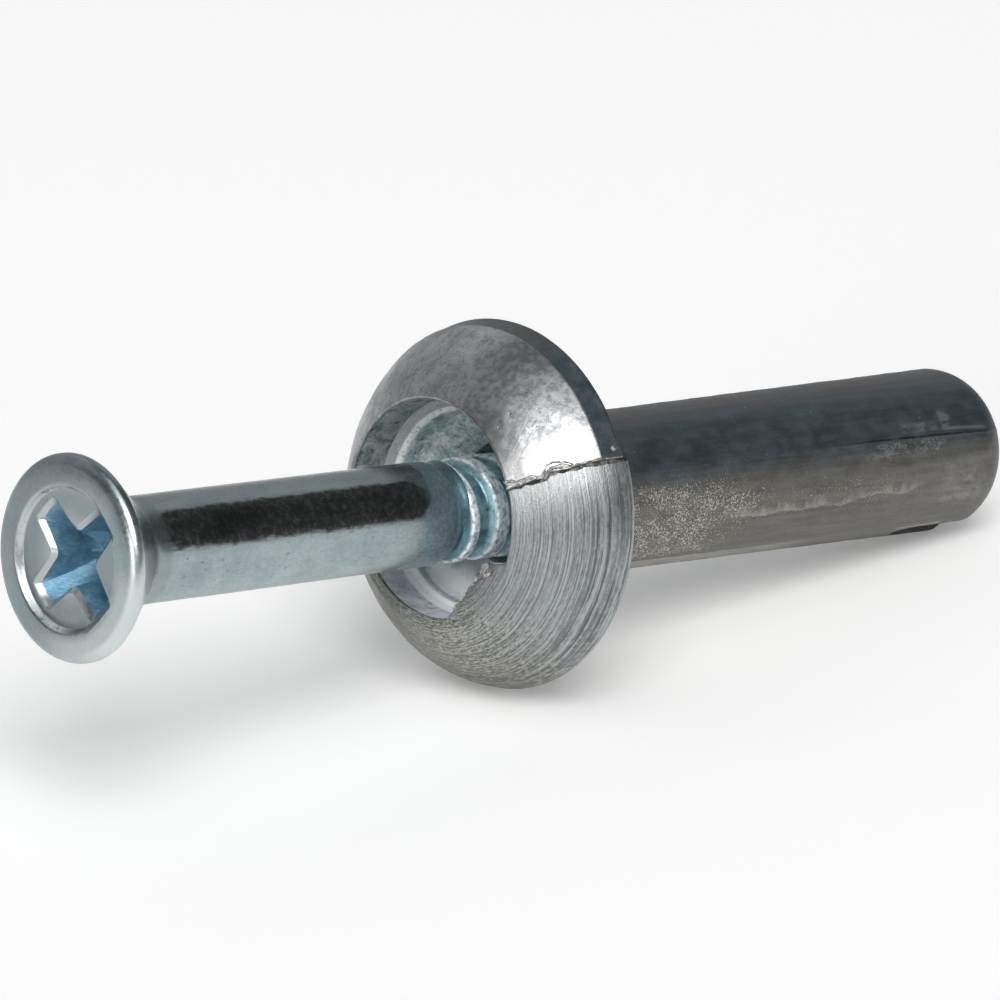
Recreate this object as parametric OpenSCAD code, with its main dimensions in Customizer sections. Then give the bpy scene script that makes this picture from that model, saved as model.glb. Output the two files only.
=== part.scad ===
// Screw-in expansion anchor with a mushroom head, made of a zinc alloy casting and a steel drive screw.
// Both pieces share one axis. Distances along it are counted from the back of the casting's head:
// negative towards the screw's head, positive towards the tip.

/* [Casting head] */
// Largest diameter of the mushroom head, at its back edge
head_d = 14.53; // [12:0.01:18]
// Diameter where the side band meets the dome
band_d = 14.16; // [11.6:0.01:17.8]
// Height of the side band above the back face
band_h = 1.02; // [0.6:0.01:1.6]
// Height of the head, from its back face to the mouth
head_h = 3.83; // [3.2:0.01:5]

/* [Screw seat in the casting] */
// Diameter of the mouth
mouth_d = 8.84; // [8.4:0.01:10]
// Diameter at the foot of the mouth's wall
wall_d = 8.58; // [8.2:0.01:9.6]
// Depth of the mouth's wall
wall_h = 1.62; // [1:0.01:2]
// Inner diameter of the ledge that the screw head comes to sit on
ledge_d = 7.6; // [6.8:0.01:7.68]
// Depth of the ledge's slope
ledge_h = 0.41; // [0.2:0.01:0.6]
// Diameter of the well under the ledge
well_d = 7.34; // [5.6:0.01:7.6]
// Depth of the well's wall
well_h = 0.8; // [0.3:0.01:1]
// Half angle of the cone under the well
seat_angle = 41; // [35:1:50]
// Diameter of the wide throat between that cone and the bore
throat_d = 4.9; // [4.4:0.01:5.2]
// Distance from the back of the head to the foot of the throat
throat_s = 2.4; // [1.2:0.1:5]

/* [Casting shank] */
// Diameter of the plain shank under the head
shank_d = 6.4; // [5.8:0.01:7]
// Diameter over the two legs just before the rounded tip
leg_d = 6.76; // [5.8:0.01:7.4]
// Length of the shank from the back of the head to the tip
shank_l = 27.1; // [22:0.05:40]
// Length of straight shank under the head, before it widens towards the legs
straight_l = 5.5; // [3:0.1:12]
// Height of the small fill in the corner between head and shank
root_fill = 0.25; // [0.1:0.01:0.5]
// Width of the flat lands that run from the head to the slit
land_w = 1.6; // [0.6:0.1:2]
// Radius of the rounded tip
tip_r = 1.95; // [0.8:0.01:2.2]

/* [Expansion slit] */
// Distance from the back of the head to the slit's root
slit_start = 22; // [13:0.1:22.2]
// Width of the slit at its root
slit_root_w = 1.5; // [0.8:0.05:1.6]
// Width of the slit at the tip
slit_tip_w = 2; // [1.6:0.05:2.6]

// How much shorter the one leg is than the other
leg_short = 0.2; // [0.1:0.05:1.5]

/* [Casting halves] */
// Step between the two halves of the casting along the axis
half_step = 0.2; // [0.05:0.05:0.4]
// Turn of the parting plane about the axis
parting_turn = 28; // [0:1:60]

/* [Drive screw] */
// Diameter of the screw, over its smooth shank and over the thread's crests
screw_d = 4.06; // [3.4:0.01:4.3]
// Length of the screw from its face to its point
screw_l = 29.6; // [24:0.1:34]
// Length of the turned-down end of the screw
point_h = 0.8; // [0.4:0.1:1.5]
// Diameter of the screw's blunt end
point_d = 2.4; // [1.6:0.1:3]
// Length from the face to the end of the smooth shank
smooth_l = 19.4; // [12:0.1:22]
// Length of the neck between the smooth shank and the thread
neck_l = 0.5; // [0.2:0.1:1]
// Depth of that neck
neck_depth = 0.3; // [0.1:0.05:0.5]
// Diameter of the screw's head
screw_head_d = 7.77; // [7:0.01:8]
// Rounding of the front edge of the screw's head
face_round = 0.45; // [0.3:0.01:0.9]
// Height of the straight land behind that rounding
land_h = 0.15; // [0.1:0.01:0.4]
// Half angle of the countersunk underside
sink_angle = 41; // [38:1:45]

/* [Driver recess] */
// Diameter of the dished middle of the screw's face
dish_d = 5.4; // [4.8:0.1:6]
// Depth of that dish at its middle
dish_depth = 0.5; // [0.2:0.05:0.6]
// Length across the cross recess
cross_l = 4.6; // [3.6:0.1:5]
// Width of the cross recess's arms
cross_w = 1.1; // [0.7:0.05:1.2]
// Depth of the cross recess
cross_depth = 2.3; // [1.5:0.1:2.6]
// Length across the arms at the bottom of the recess
cross_end_l = 1.6; // [1.2:0.1:2]
// Turn of the cross about the axis
cross_turn = 49; // [0:1:90]

/* [Fits] */
// Radial clearance between the screw and the bore
bore_clear = 0.06; // [0.02:0.01:0.1]
// Distance that the screw stands out, from its face to the back of the casting's head
screw_out = 22.4; // [12:0.1:23]
// Gap left under the screw's head when it is driven home
seat_gap = 0.03; // [0.02:0.01:0.1]

/* [Hidden] */
$fn = 96;
over = 1;
bore_d = screw_d + 2 * bore_clear;
// dome: a sphere through the mouth's edge and the band's edge
dome_c = (pow(band_h, 2) + pow(band_d / 2, 2) - pow(head_h, 2) - pow(mouth_d / 2, 2)) / (2 * (head_h - band_h));
dome_r = norm([head_h + dome_c, mouth_d / 2]);
// seat, as distances along the axis
wall_s = -head_h + wall_h;
ledge_s = wall_s + ledge_h;
well_s = ledge_s + well_h;
throat_top = well_s + (well_d - throat_d) / 2 / tan(seat_angle);
bore_s = throat_s + (throat_d - bore_d) / 2;
// countersunk head of the screw, from its face
cone_z = face_round + land_h;
cone_end = cone_z + (screw_head_d - screw_d) / 2 / tan(sink_angle);
// travel until the countersunk underside meets the ledge's inner edge
seated_face = ledge_s - cone_z - (screw_head_d - ledge_d) / 2 / tan(sink_angle) - seat_gap;
travel = seated_face + screw_out;
// rest on the rim of the head and on the rounded tip
rest_dx = shank_l - tip_r - leg_short - half_step;
rest_dr = head_d / 2 - (leg_d / 2 - tip_r);
rest_angle = atan(rest_dr / rest_dx) - asin(tip_r / norm([rest_dx, rest_dr]));
rest_z = head_d / 2 * cos(rest_angle) + half_step * sin(rest_angle);
// middle of the part along X
x_min = -screw_out * cos(rest_angle) - (screw_head_d / 2 - face_round * (1 - sin(rest_angle))) * sin(rest_angle)
    + face_round * (1 - cos(rest_angle)) * cos(rest_angle);
tip_end = shank_l - tip_r + sqrt(pow(tip_r, 2) - pow((bore_d - leg_d) / 2 + tip_r, 2));
x_max = tip_end * cos(rest_angle) + bore_d / 2 * sin(rest_angle);
rest_x = -(x_min + x_max) / 2;

// Places a piece built along +Z into the resting frame
module lay(turn) {
    translate([rest_x, 0, rest_z]) rotate([0, rest_angle, 0]) rotate([-turn, 0, 0]) rotate([0, 90, 0]) children();
}

// The casting's outside, with the shank taken back by the length short
module outer_shape(short) {
    end_s = shank_l - short;
    intersection() {
        translate([0, 0, dome_c]) sphere(r = dome_r);
        translate([0, 0, -head_h])
            cylinder(h = head_h, d1 = head_d - (head_d - band_d) * head_h / band_h, d2 = head_d);
    }
    rotate_extrude() {
        polygon([[0, -band_h / 2], [shank_d / 2 + root_fill, -band_h / 2], [shank_d / 2 + root_fill, 0],
            [shank_d / 2, root_fill], [shank_d / 2, straight_l],
            [leg_d / 2, end_s - tip_r], [leg_d / 2 - tip_r, end_s - tip_r],
            [leg_d / 2 - tip_r, end_s], [0, end_s]]);
        intersection() {
            translate([leg_d / 2 - tip_r, end_s - tip_r]) circle(r = tip_r);
            translate([leg_d / 2 - tip_r, end_s - tip_r]) square(tip_r + over);
        }
    }
}

// One half of the casting, on the side of the parting plane that side names
module half(side, short) {
    intersection() {
        outer_shape(short);
        translate([side > 0 ? 0 : -head_d, -head_d, -head_h - over])
            cube([head_d, 2 * head_d, head_h + shank_l + 2 * over]);
    }
}

module seat_cut() {
    rotate_extrude()
        polygon([[0, -head_h - over], [mouth_d / 2, -head_h - over], [mouth_d / 2, -head_h],
            [wall_d / 2, wall_s], [ledge_d / 2, ledge_s], [well_d / 2, well_s],
            [throat_d / 2, throat_top], [throat_d / 2, throat_s], [bore_d / 2, bore_s], [0, bore_s]]);
    translate([0, 0, -head_h]) cylinder(h = head_h + shank_l + over, d = bore_d);
}

module slit_cut() {
    slit_end = shank_l + over;
    translate([-leg_d, 0, 0]) rotate([90, 0, 90]) linear_extrude(2 * leg_d) {
        polygon([[-slit_root_w / 2, slit_start + slit_root_w / 2], [slit_root_w / 2, slit_start + slit_root_w / 2],
            [slit_tip_w / 2, slit_end], [-slit_tip_w / 2, slit_end]]);
        translate([0, slit_start + slit_root_w / 2]) circle(d = slit_root_w);
    }
}

// Takes the end of the shorter leg back, with the same rounding as the longer one
module short_leg_cut() {
    difference() {
        translate([-leg_d, 0, slit_start + slit_root_w / 2]) cube([2 * leg_d, leg_d, shank_l]);
        translate([0, 0, -leg_short]) outer_shape(0);
    }
}

// Flat lands along the shank, on the two sides where the slit opens
module land_cuts() {
    land_end = slit_start + slit_root_w / 2;
    land_x = sqrt(pow(shank_d / 2, 2) - pow(land_w / 2, 2));
    widen = (leg_d - shank_d) / 2 * (land_end - straight_l) / (shank_l - tip_r - straight_l);
    for (turn = [0, 180])
        rotate([0, 0, turn]) translate([0, shank_d, turn == 0 ? half_step : 0]) rotate([90, 0, 0])
            linear_extrude(2 * shank_d)
                polygon([[land_x, 0], [land_x, straight_l], [land_x + widen, land_end],
                    [shank_d, land_end], [shank_d, 0]]);
}

module anchor_body() {
    color([0.62, 0.62, 0.6]) lay(parting_turn) difference() {
        union() {
            half(-1, 0);
            translate([0, 0, half_step]) half(1, half_step);
        }
        seat_cut();
        slit_cut();
        short_leg_cut();
        land_cuts();
    }
}

module cross_cut() {
    intersection() {
        union() {
            translate([-cross_l / 2, -cross_w / 2, -over]) cube([cross_l, cross_w, cross_depth + over]);
            translate([-cross_w / 2, -cross_l / 2, -over]) cube([cross_w, cross_l, cross_depth + over]);
            translate([0, 0, -over]) cylinder(h = cross_depth + over, d = cross_end_l);
        }
        cylinder(h = cross_depth, d1 = cross_l, d2 = cross_end_l);
    }
}

module drive_screw() {
    thread_z = smooth_l + neck_l;
    color([0.66, 0.72, 0.75]) lay(cross_turn) translate([0, 0, -screw_out]) difference() {
        rotate_extrude() {
            polygon([[0, dish_depth], [dish_d / 2, 0], [screw_head_d / 2 - face_round, 0], [screw_head_d / 2 - face_round, face_round],
                [screw_head_d / 2, face_round], [screw_head_d / 2, cone_z], [screw_d / 2, cone_end],
                [screw_d / 2, smooth_l], [screw_d / 2 - neck_depth, smooth_l + neck_depth],
                [screw_d / 2 - neck_depth, thread_z], [screw_d / 2, thread_z + neck_depth],
                [screw_d / 2, screw_l - point_h], [point_d / 2, screw_l], [0, screw_l]]);
            intersection() {
                translate([screw_head_d / 2 - face_round, face_round]) circle(r = face_round);
                translate([screw_head_d / 2 - face_round, face_round - face_round - over])
                    square([face_round + over, face_round + over]);
            }
        }
        cross_cut();
    }
}

anchor_body();
drive_screw();
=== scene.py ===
"""Expansion anchor: a zinc alloy casting with a plated steel drive screw standing part of the way out."""
from contextlib import contextmanager
from math import asin, atan, atan2, cos, degrees, dist, hypot, pi, radians, sin, sqrt, tan

import bpy
import bmesh
import numpy as np
from mathutils import Matrix, Vector, noise


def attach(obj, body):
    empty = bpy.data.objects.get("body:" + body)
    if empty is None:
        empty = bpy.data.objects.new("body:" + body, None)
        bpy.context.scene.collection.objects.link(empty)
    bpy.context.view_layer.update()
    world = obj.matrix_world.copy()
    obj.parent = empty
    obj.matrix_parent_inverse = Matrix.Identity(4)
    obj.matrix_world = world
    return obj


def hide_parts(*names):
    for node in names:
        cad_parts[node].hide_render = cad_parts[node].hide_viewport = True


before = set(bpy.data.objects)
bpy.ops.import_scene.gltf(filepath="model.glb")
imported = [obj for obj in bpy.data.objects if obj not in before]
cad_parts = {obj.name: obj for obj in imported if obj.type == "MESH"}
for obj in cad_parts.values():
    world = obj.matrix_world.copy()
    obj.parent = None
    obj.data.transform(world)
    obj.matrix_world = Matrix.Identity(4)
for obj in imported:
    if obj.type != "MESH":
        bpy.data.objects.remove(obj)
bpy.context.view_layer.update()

# Sizes in millimetres, along and around the common axis. s is counted from the back of the casting's head.
HEAD_D, BAND_D, BAND_H, HEAD_H = 14.53, 14.16, 1.02, 3.83
MOUTH_D, WALL_D, WALL_H, LEDGE_D, LEDGE_H = 8.84, 8.58, 1.62, 7.6, 0.41
WELL_D, WELL_H, SEAT_ANGLE, THROAT_D, THROAT_S = 7.34, 0.8, 41, 4.9, 2.4
SHANK_D, LEG_D, SHANK_L, STRAIGHT_L, TIP_R = 6.4, 6.76, 27.1, 5.5, 1.95
LAND_W, SLIT_START, SLIT_ROOT_W, SLIT_TIP_W, LEG_SHORT, ROOT_FILL = 1.6, 22, 1.5, 2, 0.2, 0.25
HALF_STEP, PARTING_TURN = 0.2, 28
SCREW_D, SCREW_L, POINT_H, POINT_D = 4.06, 29.6, 0.8, 2.4
SCREW_HEAD_D, FACE_ROUND, LAND_H, SINK_ANGLE = 7.77, 0.45, 0.15, 41
CROSS_L, CROSS_W, CROSS_DEPTH, CROSS_TURN = 4.6, 1.1, 2.3, 49
CROSS_OFF = (0.16, 0.03)   # the cross stands a little off the middle, to the near side and up
RING_R, RIM_LOW = 2.69, 0.025
BORE_D = SCREW_D + 0.12
SCREW_OUT = 22.4
SHOULDER_L, THREAD_PITCH, THREAD_DEPTH, THREAD_START = 18.95, 1.46, 0.34, 1.02
FLASH_FROM, FLASH_TO, FLASH_OPEN = -70.5, -19, -13   # turns where the flash over the mouth starts and ends
FLASH_SIDES = 8
EDGE_R = 0.12   # rounding of the head's outer edge
STRAY_REACH = 9   # degrees on each side of the parting line that its raggedness moves
SHADE = 0.86   # how far the metals are toned down under this light

REST_DX = SHANK_L - TIP_R - LEG_SHORT - HALF_STEP
REST_DR = HEAD_D / 2 - (LEG_D / 2 - TIP_R)
REST_ANGLE = atan(REST_DR / REST_DX) - asin(TIP_R / hypot(REST_DX, REST_DR))
REST_X = -2.158698
REST_Z = HEAD_D / 2 * cos(REST_ANGLE) + HALF_STEP * sin(REST_ANGLE)
LAY = Matrix.Scale(0.001, 4) @ Matrix.Translation((REST_X, 0, REST_Z)) @ Matrix.Rotation(REST_ANGLE, 4, "Y")


def tan_of(angle):
    return tan(radians(angle))


def ripple(s, r, turn, scale, seed):
    """Smooth seeded noise over a turned surface, from -1 to 1."""
    a = radians(turn)
    return noise.noise(Vector((s * scale + seed, r * cos(a) * scale, r * sin(a) * scale)))


def arc_points(centre, radius, start, end, count):
    """Points of an arc in the (s, r) plane, angles in degrees from the s direction towards r."""
    return [(centre[0] + radius * cos(radians(a)), centre[1] + radius * sin(radians(a)))
            for a in np.linspace(start, end, count)]


def run(p, q, count):
    """Evenly spaced points from p up to, not including, q."""
    return [(p[0] + (q[0] - p[0]) * i / count, p[1] + (q[1] - p[1]) * i / count) for i in range(count)]


def bent(p, corner, q, places):
    """Points of the curve from p to q that leans to the corner."""
    return [tuple((1 - t) ** 2 * p[i] + 2 * t * (1 - t) * corner[i] + t * t * q[i] for i in (0, 1))
            for t in places]


def turned_mesh(name, rings, turns, closed_loop, faces_of=None):
    """A mesh from rings[turn][i] = (s, r): a column of points for each angle, in degrees from the near side."""
    verts, faces, marks = [], [], []
    n, m = len(turns), len(rings[0])
    for k, turn in enumerate(turns):
        for point in rings[k]:
            s, r = point[:2]
            a = radians(point[2] if len(point) > 2 else turn)
            verts.append((s, -r * cos(a), r * sin(a)))
    for k in range(n):
        k2 = (k + 1) % n
        for i in range(m if closed_loop else m - 1):
            j = (i + 1) % m
            faces.append((k * m + i, k * m + j, k2 * m + j, k2 * m + i))
            marks.append(faces_of(k, i) if faces_of else 0)
    mesh = bpy.data.meshes.new(name)
    mesh.from_pydata(verts, [], faces)
    mesh.polygons.foreach_set("material_index", marks)
    return mesh


@contextmanager
def opened(mesh):
    """The mesh opened to be worked on; it is written back at the end."""
    bm = bmesh.new()
    bm.from_mesh(mesh)
    yield bm
    bm.to_mesh(mesh)
    bm.free()


def finished(obj, sharp=32):
    """Merges doubles, points faces outwards and sets smooth shading with sharp edges past an angle."""
    with opened(obj.data) as bm:
        bmesh.ops.remove_doubles(bm, verts=bm.verts, dist=1e-7)
        bmesh.ops.dissolve_degenerate(bm, edges=bm.edges, dist=1e-8)
        bmesh.ops.recalc_face_normals(bm, faces=bm.faces)
        if bm.calc_volume(signed=True) < 0:
            bmesh.ops.reverse_faces(bm, faces=bm.faces)
        for f in bm.faces:
            f.smooth = True
        for e in bm.edges:
            e.smooth = len(e.link_faces) == 2 and e.calc_face_angle(0) < radians(sharp)


def lofted(name, rings):
    """A closed mesh through rings of equally many points, its sides first and then a face over each end."""
    n, last = len(rings[0]), len(rings) - 1
    faces = [(k * n + i, k * n + (i + 1) % n, (k + 1) * n + (i + 1) % n, (k + 1) * n + i)
             for k in range(last) for i in range(n)]
    faces += [tuple(range(n)), tuple(range(last * n, last * n + n))]
    mesh = bpy.data.meshes.new(name)
    mesh.from_pydata([point for ring in rings for point in ring], [], faces)
    with opened(mesh) as bm:
        bmesh.ops.recalc_face_normals(bm, faces=bm.faces)
    return mesh


def plain_result(obj):
    """The plain mesh that the object's modifier makes; the modifier is removed."""
    bpy.context.view_layer.update()
    mesh = bpy.data.meshes.new_from_object(obj.evaluated_get(bpy.context.evaluated_depsgraph_get()))
    obj.modifiers.clear()
    return mesh


def cut(obj, cutter):
    """Takes the cutter out of the object and keeps the result as its plain mesh."""
    mod = obj.modifiers.new("cut", "BOOLEAN")
    mod.operation, mod.solver, mod.object = "DIFFERENCE", "EXACT", cutter
    obj.data = plain_result(obj)
    bpy.data.objects.remove(cutter)


def add(name, data):
    obj = bpy.data.objects.new(name, data)
    bpy.context.scene.collection.objects.link(obj)
    return obj


def lay(obj):
    """Brings a piece from the axis frame in millimetres to its place at rest, with its place in its mesh."""
    obj.data.transform(LAY)
    return obj


# ---- finishes

def connect(tree, socket, value):
    """Gives a socket its value: a link where it comes from a node, a constant where it doesn't."""
    if isinstance(value, Value):
        value = value.socket
    if isinstance(value, bpy.types.NodeSocket):
        tree.links.new(value, socket)
    else:
        socket.default_value = value


def calc(tree, kind, a, b=0, clamp=False):
    """One step of arithmetic in a node tree."""
    n = tree.nodes.new("ShaderNodeMath")
    n.operation, n.use_clamp = kind, clamp
    connect(tree, n.inputs[0], a)
    connect(tree, n.inputs[1], b)
    return Value(tree, n.outputs[0])


class Value:
    """A number that comes out of a node, so that sums of nodes read as plain sums."""

    def __init__(self, tree, socket):
        self.tree, self.socket = tree, socket

    def __abs__(self):
        return calc(self.tree, "ABSOLUTE", self)


for sign, kind in (("add", "ADD"), ("sub", "SUBTRACT"), ("mul", "MULTIPLY"), ("truediv", "DIVIDE")):
    setattr(Value, f"__{sign}__", lambda a, b, kind=kind: calc(a.tree, kind, a, b))
    setattr(Value, f"__r{sign}__", lambda a, b, kind=kind: calc(a.tree, kind, b, a))


def node(tree, kind, **values):
    """A new node with its inputs set or linked; their names have _ for a space."""
    n = tree.nodes.new(kind)
    for key, value in values.items():
        connect(tree, n.inputs[key.replace("_", " ")], value)
    return n


class Finish:
    """A procedural metal whose patterns read the position along (s) and around (near, z) the common axis."""

    def __init__(self, name, metallic):
        self.material = bpy.data.materials.new(name)
        self.material.use_nodes = True
        self.tree = self.material.node_tree
        self.tree.nodes.clear()
        self.shader = self.tree.nodes.new("ShaderNodeBsdfPrincipled")
        out = self.tree.nodes.new("ShaderNodeOutputMaterial")
        self.tree.links.new(self.shader.outputs[0], out.inputs[0])
        self.metal(metallic)
        coord = self.tree.nodes.new("ShaderNodeTexCoord")
        back = Matrix.Rotation(-REST_ANGLE, 4, "Y")
        self.axis = self.mapped(coord.outputs["Object"], (1000,) * 3, -(back @ Vector((REST_X, 0, REST_Z))),
                                rotation=(0, -REST_ANGLE, 0))
        split = node(self.tree, "ShaderNodeSeparateXYZ", Vector=self.axis)
        self.s, y, self.z = (Value(self.tree, out) for out in split.outputs)
        self.near = y * -1
        self.r = calc(self.tree, "SQRT", y * y + self.z * self.z)
        self.turn = calc(self.tree, "ARCTAN2", self.z, self.near) * (180 / pi)
        # height above the parting plane
        p = radians(PARTING_TURN)
        self.above = y * sin(p) + self.z * cos(p)

    def mapped(self, vector, scale=(1, 1, 1), location=(0, 0, 0), rotation=(0, 0, 0)):
        return node(self.tree, "ShaderNodeMapping", Vector=vector, Scale=scale, Location=location,
                    Rotation=rotation).outputs[0]

    def noise(self, scale, detail=4, rough=0.6, stretch=(1, 1, 1), shift=0, warp=0):
        n = node(self.tree, "ShaderNodeTexNoise", Vector=self.mapped(self.axis, stretch, (shift,) * 3),
                 Scale=scale, Detail=detail, Roughness=rough, Distortion=warp)
        return Value(self.tree, n.outputs["Fac"])

    def noise_1d(self, w, scale, detail=3, rough=0.6):
        n = self.tree.nodes.new("ShaderNodeTexNoise")
        n.noise_dimensions = "1D"
        for key, value in (("W", w), ("Scale", scale), ("Detail", detail), ("Roughness", rough)):
            connect(self.tree, n.inputs[key], value)
        return Value(self.tree, n.outputs["Fac"])

    def flecks(self, scale, stretch=(1, 1, 1)):
        """Distance to the nearest of many scattered points."""
        n = node(self.tree, "ShaderNodeTexVoronoi", Vector=self.mapped(self.axis, stretch), Scale=scale,
                 Randomness=1)
        return Value(self.tree, n.outputs["Distance"])

    def larger(self, a, b):
        return calc(self.tree, "MAXIMUM", a, b)

    def ramp(self, value, low, high, out_low=0, out_high=1, smooth=True):
        n = node(self.tree, "ShaderNodeMapRange", Value=value, From_Min=low, From_Max=high, To_Min=out_low,
                 To_Max=out_high)
        n.interpolation_type = "SMOOTHSTEP" if smooth else "LINEAR"
        return Value(self.tree, n.outputs["Result"])

    def window(self, value, a, b, c, d):
        """1 between b and c, fading to 0 at a and d."""
        return self.ramp(value, a, b) * self.ramp(value, c, d, 1, 0)

    def mix(self, factor, a, b):
        n = self.tree.nodes.new("ShaderNodeMix")
        n.data_type = "RGBA"
        connect(self.tree, n.inputs[0], factor)
        for socket, value in ((n.inputs[6], a), (n.inputs[7], b)):
            toned = value if isinstance(value, bpy.types.NodeSocket) else (*(SHADE * v for v in value), 1)
            connect(self.tree, socket, toned)
        return n.outputs[2]

    def paint(self, factor, over):
        """Lays a colour over the finish so far."""
        self.color = self.mix(factor, self.color, over)

    def round_streaks(self, along, across, detail=3, rough=0.6, shift=0):
        """Noise drawn out around the axis: `along` features a radian, `across` a millimetre of radius."""
        join = node(self.tree, "ShaderNodeCombineXYZ", X=self.near / self.r * along,
                    Y=self.z / self.r * along, Z=(self.r + shift) * across)
        n = node(self.tree, "ShaderNodeTexNoise", Vector=join.outputs[0], Scale=1, Detail=detail,
                 Roughness=rough)
        return Value(self.tree, n.outputs["Fac"])

    def beside(self, points):
        """Distance in millimetres around the shank from a line through (s, turn) points, upwards positive."""
        low, high, span = points[0][0], points[-1][0], 120
        n = self.tree.nodes.new("ShaderNodeFloatCurve")
        curve = n.mapping.curves[0]
        places = [((s - low) / (high - low), turn / span + 0.5) for s, turn in points]
        curve.points[0].location, curve.points[-1].location = places[0], places[-1]
        for at in places[1:-1]:
            curve.points.new(*at)
        for point in curve.points:
            point.handle_type = "VECTOR"
        n.mapping.update()
        connect(self.tree, n.inputs["Value"], self.ramp(self.s, low, high, smooth=False))
        line = Value(self.tree, n.outputs[0]) * span - span / 2
        return (self.turn - line) * self.r * (pi / 180)

    def bump(self, height, distance, strength=1, under=None):
        n = node(self.tree, "ShaderNodeBump", Height=height, Distance=distance * 0.001, Strength=strength)
        if under is not None:
            self.tree.links.new(under, n.inputs["Normal"])
        return n.outputs[0]

    def metal(self, share):
        connect(self.tree, self.shader.inputs["Metallic"], share)

    def finish(self, roughness, normal, color=None):
        for key, value in (("Base Color", color or self.color), ("Roughness", roughness), ("Normal", normal)):
            connect(self.tree, self.shader.inputs[key], value)
        return self.material


def as_cast_zinc():
    f = Finish("as_cast_zinc", 0.9)
    mottled = f.noise(1.3, 6, 0.66, stretch=(0.6, 1, 1), shift=3, warp=0.3)
    streaks = f.noise(2.2, 5, 0.65, stretch=(0.09, 1.6, 1.6), shift=8)
    grain = f.noise(9, shift=1)
    tone = mottled * 0.45 + streaks * 0.35 + grain * 0.2
    step = f.ramp(tone, 0.36, 0.64)
    low = f.mix(step, (0.14, 0.137, 0.125), (0.24, 0.234, 0.217))
    high = f.mix(step, (0.108, 0.139, 0.16), (0.176, 0.214, 0.24))
    # towards the top the metal is greyer again
    high = f.mix(f.ramp(f.turn, 62, 88), high, f.mix(step, (0.15, 0.156, 0.16), (0.2, 0.206, 0.21)))
    edge = f.above + (mottled - 0.5) * 1.1
    f.color = f.mix(f.ramp(edge, -1, 0.45), low, high)
    # crystalline flecks near the head, on the near side
    speckle = f.noise(15, 2, 0.6, shift=21)
    patchy = f.noise(1.6, shift=11)
    spread = f.window(f.s, 3.2, 4.4, 7.8, 12.6) * f.window(f.turn, -50, -38, 10, 27)
    spread = spread + f.window(f.s, 8, 10, 19, 22) * f.window(f.turn, -22, -8, 2, 14) * 0.42
    spread = spread * f.ramp(patchy, 0.34, 0.6, 0.55, 1)
    bar = f.ramp(spread, 0.05, 1, 0.7, 0.52, smooth=False)
    fleck = f.ramp(speckle, bar, bar + 0.035) * f.ramp(spread, 0.02, 0.12)
    f.paint(fleck * 0.95, (0.74, 0.72, 0.66))
    # a few scattered light specks on the upper side
    dot = f.flecks(1.5)
    dots = f.ramp(dot, 0.03, 0.07, 1, 0) * f.ramp(f.turn, 20, 34) * f.ramp(f.s, 1, 2)
    f.paint(dots * 0.7, (0.55, 0.58, 0.58))
    # a light flow mark with a crisp lower edge, along the near side
    rise = f.beside(((10.03, -11.9), (11.9, -14.4), (13, -12.3), (14.2, -13.6), (15.4, -11.7),
                     (16.5, -14.3), (17.5, -10.4), (18.8, -8), (20.2, -11.1), (21.3, -5.2)))
    rise = rise + (f.noise_1d(f.s, 3) - 0.5) * 0.16
    wide = f.ramp(f.noise_1d(f.s, 0.9), 0.35, 0.6, 0.22, 0.62)
    mark = (f.ramp(rise, -0.03, 0.03) * f.ramp(rise, 0.02, wide, 1, 0) * f.window(f.s, 9.6, 11, 20, 21.8)
            * f.ramp(speckle * 0.5 + patchy * 0.5, 0.38, 0.58, 0.25, 1))
    f.paint(mark * 0.8, (0.46, 0.455, 0.43))
    # the parting line towards the tip, dark, with smears and specks of light metal beside it
    line = f.beside(((14, 30.3), (18.1, 29.8), (20.3, 29.2), (25.5, 27.3)))
    line = line + (f.noise_1d(f.s, 2.2) - 0.5) * 0.05
    dark = (f.ramp(abs(line), 0.015, 0.06, 1, 0) * f.window(f.s, 14.5, 19.6, 25.2, 25.8)
            * f.ramp(f.noise_1d(f.s, 1.7), 0.3, 0.5, 0.45, 1))
    f.paint(dark * 0.8, (0.03, 0.034, 0.036))
    torn = f.ramp(f.noise(2.2, 5, 0.7, stretch=(0.5, 1.2, 1.2), shift=5), 0.37, 0.6)
    smear_a = f.window(f.s, 19.9, 20.5, 22.2, 22.6) * f.window(f.turn, 31, 33.5, 38, 41)
    smear_b = f.window(f.s, 22.5, 22.8, 23.1, 23.5) * f.window(f.turn, 32, 34, 44, 49)
    glint = f.beside(((22.4, 33), (25.2, 30.5)))
    smear_c = f.ramp(abs(glint), 0.03, 0.1, 1, 0) * f.window(f.s, 22.4, 22.9, 25, 25.4)
    smear = f.larger(f.larger(smear_a, smear_b) * torn, smear_c)
    f.paint(smear * 0.68, (0.44, 0.47, 0.48))
    specks = (f.ramp(speckle * 0.6 + torn * 0.12, 0.38, 0.44) * f.window(f.s, 17, 18.8, 22.2, 22.9)
              * f.window(f.turn, 13, 20, 26, 28))
    rubs = f.ramp(f.noise(3.2, 4, 0.7, stretch=(0.55, 1, 1), shift=25), 0.46, 0.62)
    worn_tip = (f.window(f.s, 21.8, 22.8, 24.7, 25.6) * f.window(f.turn, -30, -20, 7, 14)
                * f.larger(rubs, torn * 0.5))
    slit_edge = f.beside(((21.1, -47.6), (23.75, -45.4)))
    bright_edge = f.ramp(abs(slit_edge), 0.03, 0.1, 1, 0) * f.window(f.s, 20.9, 21.4, 23.6, 24)
    f.paint(worn_tip * 0.5, (0.37, 0.365, 0.345))
    light = f.larger(specks * 0.75, bright_edge * 0.8)
    f.paint(light, (0.44, 0.46, 0.46))
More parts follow.
